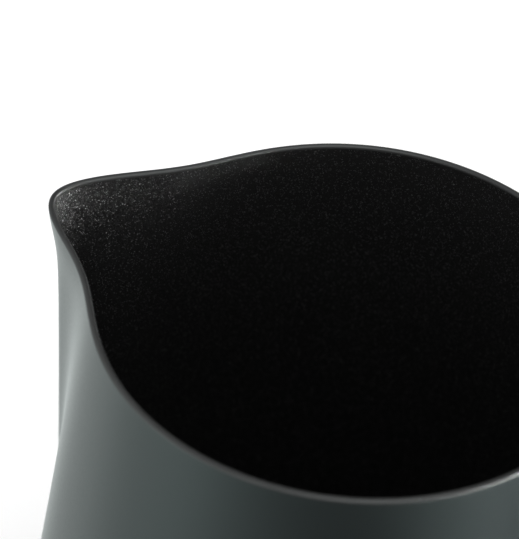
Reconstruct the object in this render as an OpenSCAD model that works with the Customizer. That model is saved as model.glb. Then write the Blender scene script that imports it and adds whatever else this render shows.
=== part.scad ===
// Milk frothing pitcher, about 600 ml: a drawn steel body that leans out towards its base, with a
// pressed spout on -X and a hollow welded handle on +X. Millimetres. +Z is up, and the origin is the
// centre of the foot ring, on the axis of the round mouth.

/* [Body] */
// Outside diameter of the round mouth
mouth_d = 77; // [70:1:84]
// Height from the table to the rim
body_h = 105; // [95:1:120]
// Wall thickness, steel and coatings together
wall_t = 1; // [0.8:0.1:1.4]
// Angle at which the wall leans out on its way down to the base
taper = 6.83; // [5:0.01:8]
// Radius of the rounded edge round the base, outside
base_corner_r = 12; // [8:1:14]
// Outside diameter of the raised panel in the base, inside the foot ring
panel_d = 66; // [56:1:68]
// Height of that panel above the table
panel_h = 1.2; // [0.8:0.1:2]

/* [Spout] */
// How far the spout's tip stands out past the round mouth
spout_reach = 12.8; // [8:0.1:14]
// Half angle of the mouth that the spout takes up, at the rim
spout_w = 14.5; // [12:0.1:18]
// Share of that half angle that is lost further down the keel
spout_narrowing = 0.82; // [0.5:0.01:0.85]
// Outward curl of the lip, over the last few millimetres
lip_flare = 1.36; // [0.5:0.01:2.5]
// How far the tip dips below the rim
tip_dip = 0.93; // [0:0.01:1.5]
// Inward slope of the keel on its way down, in millimetres for each millimetre
keel_slope = 0.019; // [0:0.001:0.05]

/* [Handle] */
// Width of the handle, side to side
handle_w = 15; // [12:0.5:18]
// Thickness of the handle, front to back
handle_t = 9; // [8:0.5:11]
// Thickness of the sheet that the two handle shells are pressed from
sheet_t = 1; // [0.8:0.1:1.2]
// Height above the table at which the upper arm leaves the body
arm_z = 89; // [84:1:91]
// Distance from the body's axis to the centre of the upper bend
bend_x = 62; // [58:1:68]
// Radius of the upper bend, to the middle of the handle
upper_bend_r = 14; // [11:1:16]
// Length of the straight grip between the bends
grip_len = 26; // [20:1:28]
// Radius of the lower bend, to the middle of the handle
lower_bend_r = 20; // [15:1:22]
// Angle at which the grip leans out towards the base, after the wall
handle_lean = 4; // [0:1:7]
// Leg of the weld fillets round the handle's two ends
weld_leg = 1.6; // [1:0.1:2]

/* [Hidden] */

mouth_r = mouth_d / 2;
// The rim's edge is a half round of this radius.
rim_r = wall_t / 2;

// Spout
// Rounds the top of the keel's bump, as a share of its half angle.
crest_softness = 0.3;
// Exponent of the bump: its crown is round at the rim and draws in to a crease further down.
rim_sharpness = 1.62;
keel_sharpness = 0.96;
sharpness_depth = 21;
flare_depth = 7.4;
narrowing_depth = 32;
merge_softness = 1.2;
dip_half_angle = 11;
dip_depth = 5;

// Base. The wall's generator meets the corner's arc where the arc's normal is level less the taper.
corner_z = base_corner_r;
corner_x = mouth_r + (body_h - corner_z) * tan(taper) - base_corner_r / cos(taper);
cone_foot_z = corner_z - base_corner_r * sin(taper);
panel_edge = 1.5;

// Mesh steps. Angles are counted from the spout's middle, and the columns crowd round the spout.
spout_zone = 33;
spout_columns = 12;
plain_step = 6;
spout_angles = [for (i = [0:spout_columns]) spout_zone * pow(i / spout_columns, 1.35)];
plain_angles = [for (a = [spout_zone + plain_step:plain_step:180 - plain_step / 2]) a];
half_angles = concat(spout_angles, plain_angles);
column_angles = concat(half_angles, [180], [for (i = [len(half_angles) - 1:-1:1]) -half_angles[i]]);
columns = len(column_angles);
wall_depths = [1.4, 2.6, 4.2, 6.2, 8.6, 11.5, 15, 19.5, 25, 31, 38, 45, 52, 60, 69, 80];
corner_steps = 6;
rim_steps = 6;

// Handle. Lengths along its line are counted from where the upper arm leaves the body.
corner_fillet = 3.2;
shell_gap = 0.05;
weld_clearance = 0.03;
body_clearance = 0.04;
bend_fn = 96;
arm_overlap = 12;
corner_points = 9;
weld_arc_steps = 4;
weld_dish = 0.6;

// Radius of the plain cone at a depth below the rim.
function cone_r(depth) = mouth_r + depth * tan(taper);

arm_x = cone_r(body_h - arm_z);
arm_run = bend_x - arm_x;
grip_out = arm_run + upper_bend_r;
handle_drop = upper_bend_r + grip_len + lower_bend_r;

// How far the keel stands out of the cone: a nearly upright line with a curled lip, faded into the cone.
function keel_r(depth) =
    mouth_r + spout_reach - lip_flare * (1 - exp(-pow(depth / flare_depth, 2))) - keel_slope * depth;
function soft_positive(d) = (d + sqrt(d * d + merge_softness * merge_softness)) / 2;
function keel_reach(depth) =
    soft_positive(keel_r(depth) - cone_r(depth)) - soft_positive(spout_reach) + spout_reach;
function keel_fade(depth) = min(1, max(0, (body_h - corner_z - depth) / 20));

// Height of the bump across the spout, 1 at its middle.
function bump(angle, half_angle, sharpness) = exp(
    pow(crest_softness, sharpness)
    - pow(pow(angle / half_angle, 2) + pow(crest_softness, 2), sharpness / 2));
function spout_half_angle(depth) =
    spout_w * (1 - spout_narrowing * (1 - exp(-depth / narrowing_depth)));
function spout_sharpness(depth) =
    keel_sharpness + (rim_sharpness - keel_sharpness) * exp(-depth / sharpness_depth);

// Outside radius of the wall, and its slope round the body for each radian.
function wall_r(angle, depth) = cone_r(depth) + keel_fade(depth) * keel_reach(depth)
    * bump(angle, spout_half_angle(depth), spout_sharpness(depth));
function wall_slope(angle, depth) =
    let(step = 0.02) (wall_r(angle + step, depth) - wall_r(angle - step, depth)) / (2 * step) * 180 / PI;

// How far a point of the wall hangs below its level because the lip dips.
function dip(angle, depth) = tip_dip * exp(-pow(angle / dip_half_angle, 2)) * exp(-depth / dip_depth);

// A point of the wall, moved inwards along the wall's level normal. Angle 0 is the spout, on -X.
function wall_point(angle, depth, inwards) =
    let(
        r = wall_r(angle, depth),
        s = wall_slope(angle, depth),
        n = sqrt(r * r + s * s),
        radial = r - inwards * r / n,
        across = inwards * s / n
    )
    [
        -radial * cos(angle) + across * sin(angle),
        radial * sin(angle) + across * cos(angle),
        body_h - depth - dip(angle, depth)
    ];

// A ring of points at one radius and height, for the parts of the body that are round.
function ring(r, z) = [for (a = column_angles) [-r * cos(a), r * sin(a), z]];
function wall_ring(depth, inwards) = [for (a = column_angles) wall_point(a, depth, inwards)];

// The half round of the rim, from the outside over the top to the inside.
function rim_ring(i) =
    let(t = 180 * i / rim_steps)
    [for (a = column_angles) wall_point(a, rim_r - rim_r * sin(t), rim_r - rim_r * cos(t))];

// The corner round the base, as an arc of one radius about the corner's centre.
function corner_ring(r, t) = ring(corner_x + r * cos(t), corner_z + r * sin(t));

inner_corner_r = base_corner_r - wall_t;
floor_z = panel_h + wall_t;
corner_span = 90 - taper;

// Rings from the middle of the base, up the outside, over the rim and down the inside to the floor.
body_rings = concat(
    [for (i = [0:corner_steps]) corner_ring(base_corner_r, -90 + corner_span * i / corner_steps)],
    [for (i = [len(wall_depths) - 1:-1:0]) wall_ring(wall_depths[i], 0)],
    [for (i = [0:rim_steps]) rim_ring(i)],
    [for (d = wall_depths) wall_ring(d, wall_t)],
    [for (i = [corner_steps:-1:0]) corner_ring(inner_corner_r, -90 + corner_span * i / corner_steps)],
    [ring(panel_d / 2 + panel_edge - wall_t / 2, wall_t), ring(panel_d / 2 - wall_t / 2, floor_z)]
);
ring_count = len(body_rings);
base_centre = ring_count * columns;
floor_centre = base_centre + 1;

function corner_index(i, j) = i * columns + (j % columns);
side_faces = [
    for (i = [0:ring_count - 2], j = [0:columns - 1], half = [0, 1])
        half == 0
            ? [corner_index(i, j), corner_index(i + 1, j + 1), corner_index(i + 1, j)]
            : [corner_index(i, j), corner_index(i, j + 1), corner_index(i + 1, j + 1)]
];
cap_faces = [
    for (j = [0:columns - 1], top = [0, 1])
        top == 0
            ? [base_centre, corner_index(0, j + 1), corner_index(0, j)]
            : [floor_centre, corner_index(ring_count - 1, j), corner_index(ring_count - 1, j + 1)]
];

// The body: one drawn sheet, with the spout pressed out of it and the base panel pushed up.
module body_shell() {
    color("#2b3030")
    difference() {
        polyhedron(
            points = concat([for (r = body_rings) for (p = r) p], [[0, 0, 0], [0, 0, floor_z]]),
            faces = concat(side_faces, cap_faces),
            convexity = 6
        );
        translate([0, 0, -1])
            cylinder(r1 = panel_d / 2 + panel_edge * (1 + 1 / panel_h), r2 = panel_d / 2,
                h = panel_h + 1, $fn = 180);
    }
}

// A cone that stands off the outside of the body's back.
module back_cone(off) {
    below = 2;
    translate([0, 0, -below])
        cylinder(r1 = cone_r(body_h + below) + off, r2 = cone_r(-below) + off, h = body_h + 2 * below,
            $fn = 180);
}

// Section of the handle as a rounded rectangle, x outwards and y across.
module rounded_section(w, t, r) {
    square([t - 2 * r, w], center = true);
    square([t, w - 2 * r], center = true);
    for (x = [-1, 1], y = [-1, 1])
        translate([x * (t / 2 - r), y * (w / 2 - r)])
            circle(r = r, $fn = 48);
}

// Section of one half of the handle's tube. Side 1 is the outer shell and side -1 the inner one.
module shell_section(side) {
    intersection() {
        difference() {
            rounded_section(handle_w, handle_t, corner_fillet);
            rounded_section(handle_w - 2 * sheet_t, handle_t - 2 * sheet_t, corner_fillet - sheet_t);
        }
        translate([side > 0 ? shell_gap : -handle_t - shell_gap, -handle_w])
            square([handle_t, 2 * handle_w]);
    }
}

// Straight run of the handle along x, with the section's outward side on +y.
module straight_run(length) {
    rotate([0, 90, 0])
        rotate([0, 0, 90])
            linear_extrude(length)
                children();
}

// Quarter bend round the origin, from +y round to +x, with the section's outward side outwards.
module quarter_bend(r) {
    rotate_extrude(angle = 90, $fn = bend_fn)
        translate([r, 0])
            children();
}

// The handle's line, drawn flat with x out and y up: the origin is where the upper arm's middle line
// crosses the back of the body.
module handle_line() {
    translate([-arm_overlap, 0])
        straight_run(arm_run + arm_overlap) children();
    translate([arm_run, -upper_bend_r])
        quarter_bend(upper_bend_r) children();
    translate([grip_out, -upper_bend_r - grip_len])
        rotate([0, 0, 90])
            mirror([0, 1, 0])
                straight_run(grip_len) children();
    translate([grip_out - lower_bend_r, -upper_bend_r - grip_len])
        rotate([0, 0, -90])
            quarter_bend(lower_bend_r) children();
    translate([-arm_overlap, -handle_drop])
        mirror([0, 1, 0])
            straight_run(grip_out - lower_bend_r + arm_overlap) children();
}

// Stands a flat drawing of the handle up behind the body, with its lean.
module stand_up() {
    translate([arm_x, 0, arm_z])
        rotate([90, 0, 0])
            rotate([0, 0, handle_lean])
                children();
}

module handle_shell(side) {
    difference() {
        stand_up() handle_line() shell_section(side);
        back_cone(body_clearance);
    }
}

module handle_outer_shell() {
    color("#2b3030") handle_shell(1);
}

module handle_inner_shell() {
    color("#2b3030") handle_shell(-1);
}

// Weld fillet round one end of the handle, as loops of points that follow the handle's outline.
// A loop is the outline grown by one amount and stood off the wall by another.
function outline_point(grow, k) =
    let(
        q = floor(k / corner_points),
        t = 90 * q + 90 * (k % corner_points) / (corner_points - 1),
        sx = (q == 0 || q == 3) ? 1 : -1,
        sy = q < 2 ? 1 : -1,
        r = corner_fillet + grow
    )
    [sx * (handle_t / 2 - corner_fillet) + r * cos(t), sy * (handle_w / 2 - corner_fillet) + r * sin(t)];

// Where a line along the arm meets the back of the body, stood off by a distance. The line is level
// in the handle's own flat frame, at height v there and y = w across.
function wall_hit(v, w, off) =
    let(
        c = cos(handle_lean),
        s = sin(handle_lean),
        // The line is (px + u * c, w, pz + u * s).
        px = arm_x - v * s,
        pz = arm_z + v * c,
        k = tan(taper),
        // Cone radius at the line's start, and how it shrinks along the line.
        r0 = cone_r(body_h - pz) + off / cos(taper),
        r1 = -k * s,
        qa = c * c - r1 * r1,
        qb = 2 * (px * c - r0 * r1),
        qc = px * px + w * w - r0 * r0
    )
    (-qb + sqrt(qb * qb - 4 * qa * qc)) / (2 * qa);

function weld_point(base_v, grow, off, k) =
    let(
        o = outline_point(grow, k),
        v = base_v + o[0],
        u = wall_hit(v, o[1], off)
    )
    [arm_x + u * cos(handle_lean) - v * sin(handle_lean), o[1],
        arm_z + u * sin(handle_lean) + v * cos(handle_lean)];

// The fillet's hollow face is an arc between its two legs.
weld_profile = concat(
    [[weld_clearance, weld_clearance]],
    [for (i = [0:weld_arc_steps])
        let(t = 90 * i / weld_arc_steps)
        [weld_clearance + weld_leg * (1 - weld_dish * sin(t) - (1 - weld_dish) * (i / weld_arc_steps)),
            weld_clearance + weld_leg * (1 - weld_dish * cos(t) - (1 - weld_dish) * (1 - i / weld_arc_steps))]]
);

module weld_bead(base_v) {
    n = 4 * corner_points;
    m = len(weld_profile);
    polyhedron(
        points = [for (p = weld_profile, k = [0:n - 1]) weld_point(base_v, p[0], p[1], k)],
        faces = [for (i = [0:m - 1], k = [0:n - 1], half = [0, 1])
            let(a = i * n + k, b = i * n + (k + 1) % n, c = ((i + 1) % m) * n + (k + 1) % n,
                d = ((i + 1) % m) * n + k)
            half == 0 ? [a, b, c] : [a, c, d]],
        convexity = 6
    );
}

module upper_weld_bead() {
    color("#2b3030") weld_bead(0);
}

module lower_weld_bead() {
    color("#2b3030") weld_bead(-handle_drop);
}

body_shell();
handle_outer_shell();
handle_inner_shell();
upper_weld_bead();
lower_weld_bead();
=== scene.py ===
import math

import bpy
import numpy as np
from mathutils import Matrix, Vector


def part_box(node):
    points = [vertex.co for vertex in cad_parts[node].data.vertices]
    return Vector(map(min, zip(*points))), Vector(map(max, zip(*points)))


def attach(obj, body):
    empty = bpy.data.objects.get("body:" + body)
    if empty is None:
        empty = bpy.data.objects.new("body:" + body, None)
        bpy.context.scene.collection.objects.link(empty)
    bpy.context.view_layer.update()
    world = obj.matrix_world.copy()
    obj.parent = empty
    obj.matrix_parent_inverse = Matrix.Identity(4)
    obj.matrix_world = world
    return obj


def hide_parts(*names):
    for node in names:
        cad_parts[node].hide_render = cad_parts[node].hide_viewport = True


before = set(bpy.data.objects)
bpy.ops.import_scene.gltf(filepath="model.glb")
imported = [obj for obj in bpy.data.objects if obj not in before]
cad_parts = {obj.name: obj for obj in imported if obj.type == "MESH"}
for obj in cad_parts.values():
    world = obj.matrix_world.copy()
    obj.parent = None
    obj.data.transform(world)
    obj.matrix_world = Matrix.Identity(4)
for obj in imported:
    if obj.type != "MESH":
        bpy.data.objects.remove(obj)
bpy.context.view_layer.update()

# Lengths below are in millimetres, in the part's frame: the spout is on -X, the handle on +X and the
# foot ring stands on z = 0. Points are scaled to metres as the meshes are made.
MM = 0.001

# Body: the wall's shape, in terms of an angle from the spout's middle and a depth below the rim.
WALL_T = 1.0
TAPER = math.radians(6.83)
SPOUT_REACH = 12.8
SPOUT_HALF_ANGLE = 14.5
SPOUT_NARROWING = 0.82
NARROWING_DEPTH = 32.0
CREST_SOFTNESS = 0.3
RIM_SHARPNESS = 1.62
KEEL_SHARPNESS = 0.96
SHARPNESS_DEPTH = 21.0
LIP_FLARE = 1.36
FLARE_DEPTH = 7.4
KEEL_SLOPE = 0.019
KEEL_FADE = 20.0
MERGE_SOFTNESS = 1.2
TIP_DIP = 0.93
DIP_HALF_ANGLE = 11.0
DIP_DEPTH = 5.0
CORNER_R = 12.0
PANEL_R = 33.0
PANEL_H = 1.2
PANEL_EDGE = 1.5

# Meshes: columns round the body in degrees as (from, to, step), rows down its wall, and steps of arcs.
COLUMN_ZONES = ((0.0, 36.0, 0.5), (36.0, 60.0, 1.0), (60.0, 180.0, 1.5))
WALL_ROWS = 95
ROW_EVENNESS = 0.25
ROW_CROWDING = 1.8
FIRST_ROW_DEPTH = 0.35
CORNER_STEPS = 16
RIM_STEPS = 14
RUN_STEPS = 8
BEND_STEPS = 28
SECTION_STEPS = 10
SEAM_STEPS = 4
OUTLINE_STEPS = 12
WELD_POINTS = 220
WELD_ARC_STEPS = 8

# The base panel underneath, from its middle out to the foot ring, as (radius, height).
FOOT_R = PANEL_R + PANEL_EDGE
PANEL_UNDERSIDE = (
    (0.4, PANEL_H), (6, PANEL_H), (14, PANEL_H), (22, PANEL_H), (PANEL_R - 1, PANEL_H),
    (PANEL_R - 0.3, PANEL_H - 0.03), (PANEL_R + 0.1, PANEL_H - 0.2),
    (FOOT_R - 0.4, 0.28), (FOOT_R, 0.06), (FOOT_R + 0.5, 0.0),
)
# The same panel inside the body, from the foot ring in to its middle.
FLOOR_Z = PANEL_H + WALL_T
PANEL_INSIDE = (
    (FOOT_R, WALL_T), (FOOT_R - 0.5, WALL_T + 0.06), (PANEL_R + 0.1, FLOOR_Z - 0.25),
    (PANEL_R - 0.5, FLOOR_Z - 0.04), (PANEL_R - 1.5, FLOOR_Z),
    (22, FLOOR_Z), (14, FLOOR_Z), (6, FLOOR_Z), (0.4, FLOOR_Z),
)

# Handle: its line is an arm, a bend, a grip, a bend and an arm, all turned by the lean.
LEAN = math.radians(4.0)
ARM_Z = 89.0
BEND_X = 62.0
UPPER_BEND_R = 14.0
GRIP_LEN = 26.0
LOWER_BEND_R = 20.0
HANDLE_T = 9.0
SECTION_FILLET = 3.2
SHEET_T = 1.0
SEAM_GAP = 0.05
SEAM_ROUND = 0.3
SEAM_TURN = 165
WALL_GAP = 0.04
WELD_LEG = 1.6
WELD_DISH = 0.6
WELD_GAP = 0.03
WELD_RIPPLE = 1.1
WELD_SWELL = 0.35

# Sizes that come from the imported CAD.
body_low, body_high = (Vector(p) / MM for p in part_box("body_shell"))
outer_low, outer_high = (Vector(p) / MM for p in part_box("handle_outer_shell"))
BODY_H = body_high.z
MOUTH_R = -body_low.x - SPOUT_REACH
HANDLE_W = outer_high.y - outer_low.y

# Powder coat. Noises are (scale in cells for each metre, detail), and heights are in millimetres.
CHARCOAL = (0.0082, 0.0099, 0.0099)
COAT_SHEEN = (0.80, 1.0, 0.99)
# The rim edge is the same charcoal coat, but its base tone is painted lighter: painted light standing in
# for the light its rounded edge catches from above.
RIM_PAINTED_LIGHT_TONE = (0.0210, 0.0214, 0.0214)
RIM_SHEEN = (0.95, 1.0, 0.99)
OUTSIDE_ROUGHNESS = 0.36
HANDLE_ROUGHNESS = 0.4
WELD_ROUGHNESS = 0.48
RIM_ROUGHNESS = 0.40
SHEEN_SPREAD = 0.05
FACE_GRAIN = 0.35
EDGE_GRAIN = 0.6
GRAIN_NOISE = (2600, 3)
GRAIN_HEIGHT = 0.02
PEEL_NOISE = (700, 2)
PEEL_HEIGHT = 0.03
CLOUD_NOISE = (45, 4)
CLOUD_STOPS = ((0.3, 0.88), (0.7, 1.12))

# Flake lining.
LINING = (0.0045, 0.0045, 0.0045)
LINING_ROUGHNESS = 0.45
FLAKE_SCALE = 9000
FLAKE_TILT = 0.6
METAL_SHARE = 0.04
METAL_TONE = (0.5, 0.5, 0.5)
PEBBLE_NOISE = (5500, 2, 0.6)
PEBBLE_HEIGHT = 0.04
PEBBLE_STRENGTH = 0.3

# Floor and even surround.
FLOOR_TONE = (0.85, 0.85, 0.85)
FLOOR_ROUGHNESS = 0.9
FLOOR_HALF_SIZE = 3.0
AMBIENT = 1.4

# Reflections are of a studio made of soft panels instead of that surround. Each has an azimuth and an
# elevation in degrees, counted as the camera's are, a sharpness and a level.
PANELS = (
    (-150, -32, 14, 3.0),
    (-90, -32, 14, 1.3),
    (-30, -32, 14, 0.5),
    (0, -32, 14, 0.3),
    (-45, -10, 14, 2.8),
    (75, -10, 14, 2.7),
    (105, -10, 14, 1.7),
    (90, 2, 600, 360.0),
    (125, 3, 200, 200.0),
    (-10, 3, 200, 9.6),
    (100, 8, 100, 13.0),
    (155, 8, 60, 7.9),
    (-90, 35, 12, 1.2),
    (18, 35, 40, 2.7),
    (60, 60, 8, 2.8),
)
# Panels below the horizon have a cool cast, which fades out up to it, from this height of a unit vector.
LOW_PANEL_CAST = (0.935, 1.0, 0.985)
CAST_FADE_START = -0.12

# The camera looks at the middle of the mouth, and is then panned, tilted and rolled a little.
CAMERA_AZIMUTH = 23.17
CAMERA_ELEVATION = 42.06
CAMERA_DISTANCE = 456.0
CAMERA_PAN = 1.824
CAMERA_TILT = 0.551
CAMERA_ROLL = -6.362
CAMERA_LENS = 210.0
CAMERA_SENSOR = 36.0
CAMERA_CLIP = (0.01, 20)
APERTURE = 31.0
FOCUS_DEPTH = 10


# ---------------------------------------------------------------- body wall

def cone_r(depth):
    """Radius of the plain cone at a depth below the rim."""
    return MOUTH_R + depth * math.tan(TAPER)


def soft_positive(d):
    """The number itself where it is well above 0, and 0 where it is well below, with a smooth change."""
    return (d + np.sqrt(d * d + MERGE_SOFTNESS ** 2)) / 2


def keel_reach(depth):
    """How far the keel stands out of the cone: a nearly upright line with a curled lip."""
    keel = (MOUTH_R + SPOUT_REACH - LIP_FLARE * (1 - np.exp(-(depth / FLARE_DEPTH) ** 2))
            - KEEL_SLOPE * depth)
    reach = soft_positive(keel - cone_r(depth)) - soft_positive(SPOUT_REACH) + SPOUT_REACH
    return reach * np.clip((BODY_H - CORNER_R - depth) / KEEL_FADE, 0.0, 1.0)


def wall_r(angle, depth):
    """Outside radius of the wall; angle in degrees from the spout's middle, depth below the rim."""
    half = SPOUT_HALF_ANGLE * (1 - SPOUT_NARROWING * (1 - np.exp(-depth / NARROWING_DEPTH)))
    power = KEEL_SHARPNESS + (RIM_SHARPNESS - KEEL_SHARPNESS) * np.exp(-depth / SHARPNESS_DEPTH)
    bump = np.exp(CREST_SOFTNESS ** power
                  - ((angle / half) ** 2 + CREST_SOFTNESS ** 2) ** (power / 2))
    return cone_r(depth) + keel_reach(depth) * bump


def wall_ring(angles, depth, inwards):
    """A ring of points on the wall, moved inwards along its level normal."""
    step = 0.02
    r = wall_r(angles, depth)
    slope = (wall_r(angles + step, depth) - wall_r(angles - step, depth)) / math.radians(2 * step)
    n = np.hypot(r, slope)
    radial = r - inwards * r / n
    across = inwards * slope / n
    a = np.radians(angles)
    dip = TIP_DIP * np.exp(-(angles / DIP_HALF_ANGLE) ** 2) * math.exp(-depth / DIP_DEPTH)
    return np.stack([
        -radial * np.cos(a) + across * np.sin(a),
        radial * np.sin(a) + across * np.cos(a),
        BODY_H - depth - dip,
    ], axis=1)


def plain_ring(angles, r, z):
    """A ring of points at one radius and height."""
    a = np.radians(angles)
    return np.stack([-r * np.cos(a), r * np.sin(a), np.full_like(a, z)], axis=1)


def column_angles():
    """Angles round the body from -180 up to 180, crowded round the spout."""
    half = np.concatenate([np.arange(*zone) for zone in COLUMN_ZONES])
    return np.concatenate([[-180.0], -half[:0:-1], half])


def wall_depths(first, last):
    """Depths of the rows down the wall: close together at the lip and wider below it."""
    t = np.arange(1, WALL_ROWS) / WALL_ROWS
    return first + (last - first) * (ROW_EVENNESS * t + (1 - ROW_EVENNESS) * t ** ROW_CROWDING)


def body_rings():
    """Rings from the base's middle up the outside, over the rim and down the inside to the floor."""
    angles = column_angles()
    corner_x = MOUTH_R + (BODY_H - CORNER_R) * math.tan(TAPER) - CORNER_R / math.cos(TAPER)
    corner_angles = [(math.pi / 2 - TAPER) * i / CORNER_STEPS - math.pi / 2
                     for i in range(CORNER_STEPS + 1)]
    # The rows end where the corner's arc leaves the cone.
    depths = wall_depths(FIRST_ROW_DEPTH, BODY_H - CORNER_R + CORNER_R * math.sin(TAPER))
    rim_angles = [math.pi * i / RIM_STEPS for i in range(RIM_STEPS + 1)]

    def corner_ring(r, t):
        return plain_ring(angles, corner_x + r * math.cos(t), CORNER_R + r * math.sin(t))

    def rim_ring(t):
        return wall_ring(angles, WALL_T / 2 * (1 - math.sin(t)), WALL_T / 2 * (1 - math.cos(t)))

    outside = [plain_ring(angles, r, z) for r, z in PANEL_UNDERSIDE]
    outside += [corner_ring(CORNER_R, t) for t in corner_angles]
    outside += [wall_ring(angles, d, 0.0) for d in depths[::-1]]
    rim = [rim_ring(t) for t in rim_angles]
    inside = [wall_ring(angles, d, WALL_T) for d in depths]
    inside += [corner_ring(CORNER_R - WALL_T, t) for t in corner_angles[::-1]]
    inside += [plain_ring(angles, r, z) for r, z in PANEL_INSIDE]
    return outside, rim, inside


# ---------------------------------------------------------------- meshes

def make_piece(name, points, faces, face_materials=None):
    """A smooth-shaded mesh object, with its faces turned outwards."""
    mesh = bpy.data.meshes.new(name)
    mesh.from_pydata((points * MM).tolist(), [], faces)
    if face_materials:
        mesh.polygons.foreach_set("material_index", face_materials)
    mesh.polygons.foreach_set("use_smooth", [True] * len(faces))
    mesh.update()
    mesh.calc_loop_triangles()
    corners = np.array([[mesh.vertices[i].co for i in t.vertices] for t in mesh.loop_triangles])
    # Six times the enclosed volume, which comes out negative where the faces are turned inwards.
    volume = np.einsum("ij,ij->i", corners[:, 0], np.cross(corners[:, 1], corners[:, 2])).sum()
    if volume < 0:
        mesh.flip_normals()
    piece = bpy.data.objects.new(name, mesh)
    bpy.context.scene.collection.objects.link(piece)
    return piece


def ring_faces(n, m):
    """Four-sided faces between m rings of n points."""
    return [(i * n + j, i * n + (j + 1) % n, (i + 1) * n + (j + 1) % n, (i + 1) * n + j)
            for i in range(m - 1) for j in range(n)]


def fanned_ends(rings):
    """The points and faces of a skin over rings, with a fan of faces to a middle point at each end."""
    n, m = len(rings[0]), len(rings)
    first, last = n * m, n * m + 1
    middles = [rings[0].mean(0, keepdims=True), rings[-1].mean(0, keepdims=True)]
    points = np.concatenate(rings + middles)
    faces = [(first, (j + 1) % n, j) for j in range(n)] + ring_faces(n, m)
    faces += [(last, (m - 1) * n + j, (m - 1) * n + (j + 1) % n) for j in range(n)]
    return points, faces


def flat_ends(rings):
    """The points and faces of a skin over rings, with one flat face over each end."""
    n, m = len(rings[0]), len(rings)
    faces = ring_faces(n, m) + [tuple(range(n - 1, -1, -1)), tuple(range((m - 1) * n, m * n))]
    return np.concatenate(rings), faces


def closed_round(rings):
    """The points and faces of a skin over rings, with the last ring joined to the first."""
    n, m = len(rings[0]), len(rings)
    return np.concatenate(rings), [tuple(v % (n * m) for v in face) for face in ring_faces(n, m + 1)]


# ---------------------------------------------------------------- handle

ARM_X = cone_r(BODY_H - ARM_Z)
ARM_RUN = BEND_X - ARM_X
GRIP_OUT = ARM_RUN + UPPER_BEND_R
HANDLE_DROP = UPPER_BEND_R + GRIP_LEN + LOWER_BEND_R


def stand_up(x, y, w):
    """A point of the handle's flat drawing (x out, y up, w across), stood up behind the body."""
    c, s = math.cos(LEAN), math.sin(LEAN)
    return (ARM_X + x * c - y * s, w, ARM_Z + x * s + y * c)


def wall_hit(v, w, off):
    """Where a line along the arm, at height v and w across, comes within off of the body's back."""
    c, s = math.cos(LEAN), math.sin(LEAN)
    # The cone's radius is r0 at the line's start and grows by r1 for each step along it.
    px, pz = ARM_X - v * s, ARM_Z + v * c
    r0 = cone_r(BODY_H - pz) + off / math.cos(TAPER)
    r1 = -math.tan(TAPER) * s
    qa = c * c - r1 * r1
    qb = 2 * (px * c - r0 * r1)
    qc = px * px + w * w - r0 * r0
    return (-qb + math.sqrt(qb * qb - 4 * qa * qc)) / (2 * qa)


def arc(cx, cy, r, start, end, steps):
    """Points of an arc, with its angles in degrees."""
    turns = [math.radians(start + (end - start) * i / steps) for i in range(steps + 1)]
    return [(cx + r * math.cos(t), cy + r * math.sin(t)) for t in turns]


def shell_section(side):
    """One half of the handle's tube, as a closed loop of (outwards, across) points. Side 1 is outer."""
    half_w, half_t, r, steps = HANDLE_W / 2, HANDLE_T / 2, SECTION_FILLET, SECTION_STEPS
    lip_x, lip_w = SEAM_GAP + SEAM_ROUND, half_w - SEAM_ROUND
    # Outside, from the seam on one side over the top to the seam on the other, with round lips.
    loop = [(SEAM_GAP, lip_w)]
    loop += arc(lip_x, lip_w, SEAM_ROUND, SEAM_TURN, 90, SEAM_STEPS)
    loop += arc(half_t - r, half_w - r, r, 90, 0, steps)
    loop += [(half_t, half_w / 4), (half_t, -half_w / 4)]
    loop += arc(half_t - r, r - half_w, r, 0, -90, steps)
    loop += arc(lip_x, -lip_w, SEAM_ROUND, -90, -SEAM_TURN, SEAM_STEPS)
    loop += [(SEAM_GAP, -lip_w)]
    # Inside, back again, one sheet's thickness in.
    inner_w, inner_t, r = half_w - SHEET_T, half_t - SHEET_T, r - SHEET_T
    loop += [(SEAM_GAP, -inner_w)]
    loop += arc(inner_t - r, r - inner_w, r, -90, 0, steps)
    loop += arc(inner_t - r, inner_w - r, r, 0, 90, steps)
    loop += [(SEAM_GAP, inner_w)]
    return [(side * o, w) for o, w in loop]


def handle_rings(section):
    """The section carried along the handle's line, from the wall by the upper arm back to the wall."""
    shares = [i / RUN_STEPS for i in range(RUN_STEPS + 1)]
    bend_shares = [i / BEND_STEPS for i in range(1, BEND_STEPS + 1)]

    def arm(v, w, end, f):
        start = wall_hit(v, w, WALL_GAP)
        return start + (end - start) * f, v

    def bend(o, cx, cy, r, t):
        return cx + (r + o) * math.cos(t), cy + (r + o) * math.sin(t)

    # The five runs in order. Each gives a point of the flat drawing from a point of the section, o
    # outwards and w across, at a share f of the run.
    def upper_arm(o, w, f):
        return arm(o, w, ARM_RUN, f)

    def upper_bend(o, w, f):
        return bend(o, ARM_RUN, -UPPER_BEND_R, UPPER_BEND_R, math.pi / 2 * (1 - f))

    def grip(o, w, f):
        return GRIP_OUT + o, -UPPER_BEND_R - GRIP_LEN * f

    def lower_bend(o, w, f):
        return bend(o, GRIP_OUT - LOWER_BEND_R, -UPPER_BEND_R - GRIP_LEN, LOWER_BEND_R, -math.pi / 2 * f)

    def lower_arm(o, w, f):
        return arm(-HANDLE_DROP - o, w, GRIP_OUT - LOWER_BEND_R, f)

    stations = [(upper_arm, f) for f in shares]
    stations += [(upper_bend, f) for f in bend_shares]
    stations += [(grip, f) for f in shares[1:]]
    stations += [(lower_bend, f) for f in bend_shares[:-1]]
    stations += [(lower_arm, f) for f in shares[::-1]]
    return [np.array([stand_up(*place(o, w, f), w) for o, w in section]) for place, f in stations]


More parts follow.
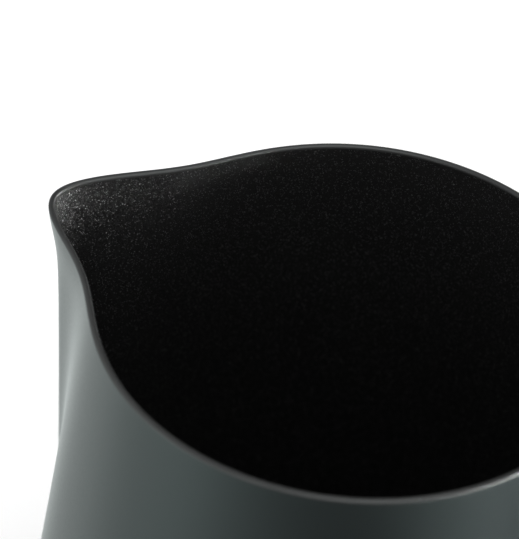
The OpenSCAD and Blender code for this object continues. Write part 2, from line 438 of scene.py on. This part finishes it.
def handle_outline(count):
    """The handle's outline as evenly spaced points and their outward directions, one row each."""
    rows = []
    for q, (sx, sy) in enumerate(((1, 1), (-1, 1), (-1, -1), (1, -1))):
        cx, cy = sx * (HANDLE_T / 2 - SECTION_FILLET), sy * (HANDLE_W / 2 - SECTION_FILLET)
        for i in range(OUTLINE_STEPS + 1):
            t = math.pi / 2 * (q + i / OUTLINE_STEPS)
            rows.append((cx + SECTION_FILLET * math.cos(t), cy + SECTION_FILLET * math.sin(t),
                         math.cos(t), math.sin(t)))
    rows = np.array(rows + rows[:1])
    lengths = np.concatenate([[0], np.cumsum(np.hypot(*np.diff(rows[:, :2], axis=0).T))])
    at = np.linspace(0, lengths[-1], count, endpoint=False)
    return np.stack([np.interp(at, lengths, rows[:, i]) for i in range(4)], axis=1), lengths[-1]


def weld_rings(base_v):
    """Loops of a fillet weld round one end of the handle, with the ripples that a weld run leaves."""
    outline, length = handle_outline(WELD_POINTS)
    ripples = round(length / WELD_RIPPLE)
    # The fillet's section, as how far it stands off the handle and off the wall.
    profile = [(0.0, 0.0)]
    for i in range(WELD_ARC_STEPS + 1):
        t, f = math.pi / 2 * i / WELD_ARC_STEPS, i / WELD_ARC_STEPS
        profile.append((WELD_LEG * (1 - WELD_DISH * math.sin(t) - (1 - WELD_DISH) * f),
                        WELD_LEG * (1 - WELD_DISH * math.cos(t) - (1 - WELD_DISH) * (1 - f))))
    rings = []
    for grow, off in profile:
        # The ripples swell the hollow face and die out at the fillet's two edges.
        swell = WELD_SWELL * 4 * (grow / WELD_LEG) * (off / WELD_LEG)
        ring = []
        for j, (x, y, nx, ny) in enumerate(outline):
            k = 1 + swell * math.sin(2 * math.pi * ripples * j / WELD_POINTS)
            out = WELD_GAP + grow * k
            v, w = base_v + x + out * nx, y + out * ny
            ring.append(stand_up(wall_hit(v, w, WELD_GAP + off * k), v, w))
        rings.append(np.array(ring))
    return rings


# ---------------------------------------------------------------- materials

def add_node(tree, kind, inputs, **settings):
    """Adds a shader node. Each input is a value or another node's output."""
    node = tree.nodes.new("ShaderNode" + kind)
    for name, value in settings.items():
        setattr(node, name, value)
    for key, value in inputs.items():
        if isinstance(value, bpy.types.NodeSocket):
            tree.links.new(value, node.inputs[key])
        else:
            node.inputs[key].default_value = value
    return node


def vector_node(tree, operation, *inputs, **named):
    """Adds a vector maths node; gives its output vector."""
    sockets = {**dict(enumerate(inputs)), **named}
    return add_node(tree, "VectorMath", sockets, operation=operation).outputs["Vector"]


def dot_node(tree, one, other):
    """Adds a node for the dot product of two vectors; gives its output value."""
    return add_node(tree, "VectorMath", {0: one, 1: other}, operation="DOT_PRODUCT").outputs["Value"]


def math_node(tree, operation, *inputs):
    """Adds a maths node; gives its output value."""
    return add_node(tree, "Math", dict(enumerate(inputs)), operation=operation).outputs["Value"]


def new_material(name, **inputs):
    """A new material with its node tree and shader, some of whose inputs are set."""
    mat = bpy.data.materials.new(name)
    mat.use_nodes = True
    shader = mat.node_tree.nodes["Principled BSDF"]
    for key, value in inputs.items():
        shader.inputs[key.replace("_", " ")].default_value = value
    return mat, mat.node_tree, shader


def noise(tree, place, scale, detail, roughness=0.5):
    """Adds a noise texture; gives its output value."""
    inputs = {"Vector": place, "Scale": scale, "Detail": detail, "Roughness": roughness}
    return add_node(tree, "TexNoise", inputs).outputs["Fac"]


def powder_coat(name, tint, roughness, grain, sheen_tint=COAT_SHEEN):
    """A matt sprayed coat: fine grain over a soft orange peel, a little uneven in tone and in sheen."""
    mat, tree, shader = new_material(name, Specular_Tint=(*sheen_tint, 1))
    place = add_node(tree, "TexCoord", {}).outputs["Object"]
    fine, peel, cloud = (noise(tree, place, *s) for s in (GRAIN_NOISE, PEEL_NOISE, CLOUD_NOISE))
    tone = add_node(tree, "ValToRGB", {"Fac": cloud})
    for stop, (at, share) in zip(tone.color_ramp.elements, CLOUD_STOPS):
        stop.position = at
        stop.color = (*[c * share for c in tint], 1)
    tree.links.new(tone.outputs["Color"], shader.inputs["Base Color"])
    sheen = add_node(tree, "MapRange", {"Value": fine, "To Min": roughness - SHEEN_SPREAD,
                                        "To Max": roughness + SHEEN_SPREAD})
    tree.links.new(sheen.outputs["Result"], shader.inputs["Roughness"])
    ground = add_node(tree, "Bump", {"Height": fine, "Strength": grain, "Distance": GRAIN_HEIGHT * MM})
    skin = add_node(tree, "Bump", {"Height": peel, "Strength": grain / 2,
                                   "Distance": PEEL_HEIGHT * MM, "Normal": ground.outputs["Normal"]})
    tree.links.new(skin.outputs["Normal"], shader.inputs["Normal"])
    return mat


def flake_lining(name):
    """A black coat full of fine flakes. Each cell faces its own way, and a few are bright metal."""
    mat, tree, shader = new_material(name, Roughness=LINING_ROUGHNESS)
    place = add_node(tree, "TexCoord", {}).outputs["Object"]
    flakes = add_node(tree, "TexVoronoi", {"Vector": place, "Scale": FLAKE_SCALE})
    centred = vector_node(tree, "SUBTRACT", flakes.outputs["Color"], (0.5, 0.5, 0.5))
    lean = vector_node(tree, "SCALE", centred, Scale=FLAKE_TILT)
    normal = add_node(tree, "NewGeometry", {}).outputs["Normal"]
    facing = vector_node(tree, "NORMALIZE", vector_node(tree, "ADD", normal, lean))
    pebble = add_node(tree, "Bump", {"Height": noise(tree, place, *PEBBLE_NOISE),
                                     "Strength": PEBBLE_STRENGTH, "Distance": PEBBLE_HEIGHT * MM,
                                     "Normal": facing})
    tree.links.new(pebble.outputs["Normal"], shader.inputs["Normal"])
    chance = add_node(tree, "TexWhiteNoise", {"Vector": flakes.outputs["Position"]}).outputs["Value"]
    metal = math_node(tree, "LESS_THAN", chance, METAL_SHARE)
    tone = add_node(tree, "ValToRGB", {"Fac": metal})
    for stop, colour in zip(tone.color_ramp.elements, (LINING, METAL_TONE)):
        stop.color = (*colour, 1)
    tree.links.new(tone.outputs["Color"], shader.inputs["Base Color"])
    tree.links.new(metal, shader.inputs["Metallic"])
    return mat


# ---------------------------------------------------------------- pieces

def finish_piece(piece, node, materials):
    """Gives a piece its materials and its place in the frame, in the stead of one CAD node."""
    for mat in materials:
        piece.data.materials.append(mat)
    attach(piece, "root")
    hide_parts(node)


outside, rim, inside = body_rings()
points, faces = fanned_ends(outside + rim + inside)
# Each row of faces takes the coat of its band: outside, rim or inside.
bands = [0] * (len(outside) + 1) + [1] * len(rim) + [2] * len(inside)
columns = len(outside[0])
body = make_piece("body", points, faces, [bands[i // columns] for i in range(len(faces))])
finish_piece(body, "body_shell", [
    powder_coat("charcoal_powder_coat", CHARCOAL, OUTSIDE_ROUGHNESS, FACE_GRAIN),
    # The rim's coat takes the lighter base tone, which is painted light for the light caught by its
    # rounded edge.
    powder_coat("charcoal_rim_edge_painted_light", RIM_PAINTED_LIGHT_TONE, RIM_ROUGHNESS, EDGE_GRAIN, RIM_SHEEN),
    flake_lining("black_flake_lining"),
])

handle_coat = powder_coat("charcoal_handle_coat", CHARCOAL, HANDLE_ROUGHNESS, FACE_GRAIN)
weld_coat = powder_coat("charcoal_weld_coat", CHARCOAL, WELD_ROUGHNESS, EDGE_GRAIN)
for name, side in (("outer", 1), ("inner", -1)):
    shell = make_piece(f"handle_{name}", *flat_ends(handle_rings(shell_section(side))))
    finish_piece(shell, f"handle_{name}_shell", [handle_coat])
for name, base_v in (("upper", 0.0), ("lower", -HANDLE_DROP)):
    weld = make_piece(f"weld_{name}", *closed_round(weld_rings(base_v)))
    finish_piece(weld, f"{name}_weld_bead", [weld_coat])


# ---------------------------------------------------------------- stage and light

def toward(azimuth, elevation):
    """The unit vector to a place round the object, with both angles in degrees."""
    a, e = math.radians(azimuth), math.radians(elevation)
    return Vector((math.sin(a) * math.cos(e), -math.cos(a) * math.cos(e), math.sin(e)))


def pale_floor(half):
    """A plain square floor, left out of reflections so that the low panels can be seen in them."""
    mesh = bpy.data.meshes.new("floor")
    corners = [(x * half, y * half, 0) for x, y in ((-1, -1), (1, -1), (1, 1), (-1, 1))]
    mesh.from_pydata(corners, [], [(0, 1, 2, 3)])
    mesh.materials.append(new_material("pale_floor", Base_Color=(*FLOOR_TONE, 1),
                                       Roughness=FLOOR_ROUGHNESS)[0])
    floor = bpy.data.objects.new("floor", mesh)
    floor.visible_glossy = False
    bpy.context.scene.collection.objects.link(floor)


def studio():
    """The surround: plain white to the camera, even for soft light, and the panels for reflections."""
    world = bpy.data.worlds.new("studio")
    bpy.context.scene.world = world
    world.use_nodes = True
    tree = world.node_tree
    place = add_node(tree, "TexCoord", {}).outputs["Generated"]
    total = 0.0
    for azimuth, elevation, sharpness, level in PANELS:
        along = dot_node(tree, place, toward(azimuth, elevation))
        fall = math_node(tree, "MULTIPLY", math_node(tree, "SUBTRACT", along, 1.0), sharpness)
        total = math_node(tree, "MULTIPLY_ADD", math_node(tree, "EXPONENT", fall), level, total)
    plain = tree.nodes["Background"]
    plain.inputs["Color"].default_value = (1, 1, 1, 1)
    plain.inputs["Strength"].default_value = AMBIENT
    height = dot_node(tree, place, (0, 0, 1))
    above = add_node(tree, "MapRange", {"Value": height, "From Min": CAST_FADE_START, "From Max": 0.0})
    cast = add_node(tree, "ValToRGB", {"Fac": above.outputs["Result"]})
    for stop, colour in zip(cast.color_ramp.elements, (LOW_PANEL_CAST, (1, 1, 1))):
        stop.color = (*colour, 1)
    panels = add_node(tree, "Background", {"Color": cast.outputs["Color"], "Strength": total})
    ray = add_node(tree, "LightPath", {})
    both = add_node(tree, "MixShader", {
        "Fac": ray.outputs["Is Glossy Ray"],
        1: plain.outputs["Background"],
        2: panels.outputs["Background"],
    })
    tree.links.new(both.outputs["Shader"], tree.nodes["World Output"].inputs["Surface"])


def softbox(name, azimuth, elevation, distance, width, height, watts):
    """A soft light aimed at the mouth of the body, with its sizes in metres."""
    away = toward(azimuth, elevation)
    light = bpy.data.lights.new(name, "AREA")
    light.shape = "RECTANGLE"
    light.size, light.size_y, light.energy = width, height, watts
    lamp = bpy.data.objects.new(name, light)
    lamp.location = Vector((0, 0, BODY_H * MM)) + away * distance
    lamp.rotation_mode = "QUATERNION"
    lamp.rotation_quaternion = (-away).to_track_quat("-Z", "Y")
    bpy.context.scene.collection.objects.link(lamp)


pale_floor(FLOOR_HALF_SIZE)
studio()
softbox("key_softbox", azimuth=120, elevation=12, distance=0.9, width=0.5, height=0.35, watts=0.1)


# ---------------------------------------------------------------- camera

def studio_camera():
    """The camera. Its lens is focused on the spout, so the near side of the rim is a little soft."""
    scene = bpy.context.scene
    back = toward(CAMERA_AZIMUTH, CAMERA_ELEVATION)
    forward = -back
    right = forward.cross(Vector((0, 0, 1))).normalized()
    up = right.cross(forward)
    pan = Matrix.Rotation(math.radians(CAMERA_PAN), 3, up)
    forward, right = pan @ forward, pan @ right
    tilt = Matrix.Rotation(math.radians(CAMERA_TILT), 3, right)
    forward, up = tilt @ forward, tilt @ up
    roll = Matrix.Rotation(math.radians(CAMERA_ROLL), 3, forward)
    right, up = roll @ right, roll @ up
    lens = bpy.data.cameras.new("camera")
    lens.sensor_width, lens.lens = CAMERA_SENSOR, CAMERA_LENS
    lens.clip_start, lens.clip_end = CAMERA_CLIP
    camera = bpy.data.objects.new("camera", lens)
    place = (Vector((0, 0, BODY_H)) + back * CAMERA_DISTANCE) * MM
    turn = Matrix((right, up, -forward)).transposed().to_4x4()
    camera.matrix_world = Matrix.Translation(place) @ turn
    focus = bpy.data.objects.new("focus", None)
    focus.location = Vector((-MOUTH_R - SPOUT_REACH / 2, 0, BODY_H - FOCUS_DEPTH)) * MM
    lens.dof.use_dof = True
    lens.dof.focus_object = focus
    lens.dof.aperture_fstop = APERTURE
    for made in (camera, focus):
        scene.collection.objects.link(made)
    scene.camera = camera


studio_camera()
bpy.context.scene.view_settings.view_transform = "Standard"
bpy.context.scene.view_settings.look = "None"
